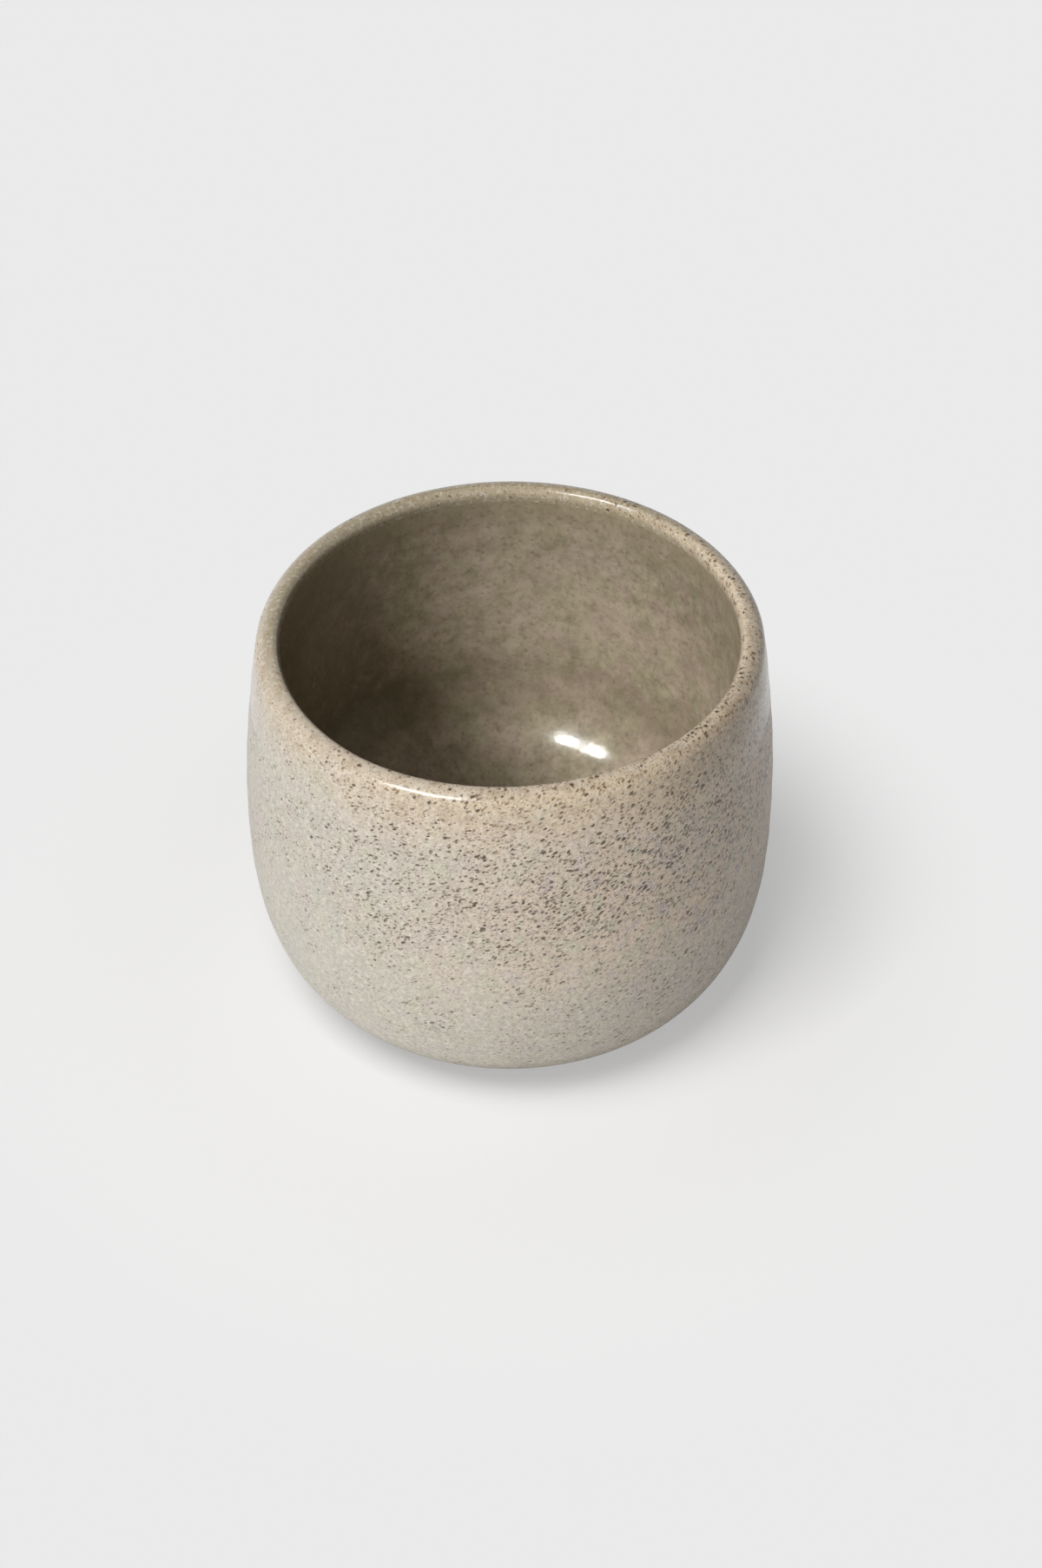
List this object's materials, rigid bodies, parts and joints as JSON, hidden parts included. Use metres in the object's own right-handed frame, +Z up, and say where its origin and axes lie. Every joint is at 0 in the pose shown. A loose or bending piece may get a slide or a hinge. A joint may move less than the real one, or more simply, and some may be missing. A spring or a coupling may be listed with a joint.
{
  "type": "coffee cup",
  "caption": "Handle-less round-bellied stoneware coffee cup with a tucked-in rounded lip, speckled greige glaze outside, an olive-brown liner glaze and a bare foot ring.",
  "frame": {"origin": "on the table, at the centre of the foot ring", "axes": "+Z up along the cup's axis; X and Y are free because the cup is a body of revolution, and -Y faces the picture's camera"},
  "size_m": [0.085, 0.085, 0.067],
  "materials": {
    "buff_stoneware": "bare fired stoneware, fine-grained and matt, seen only on the foot ring",
    "speckled_greige_glaze": "satin warm grey glaze with dark brown iron speckles, glossy and browner where it was dipped again over the lip",
    "olive_brown_liner": "glossy olive-brown glaze with soft cloudy blotches",
    "well_glaze": "the outside glaze, thin and wiped back from the foot ring"
  },
  "bodies": {
    "root": {"clay_body": "buff_stoneware", "outside_glaze": "speckled_greige_glaze", "liner_glaze": "olive_brown_liner", "foot_well_glaze": "well_glaze"}
  },
  "joints": []
}
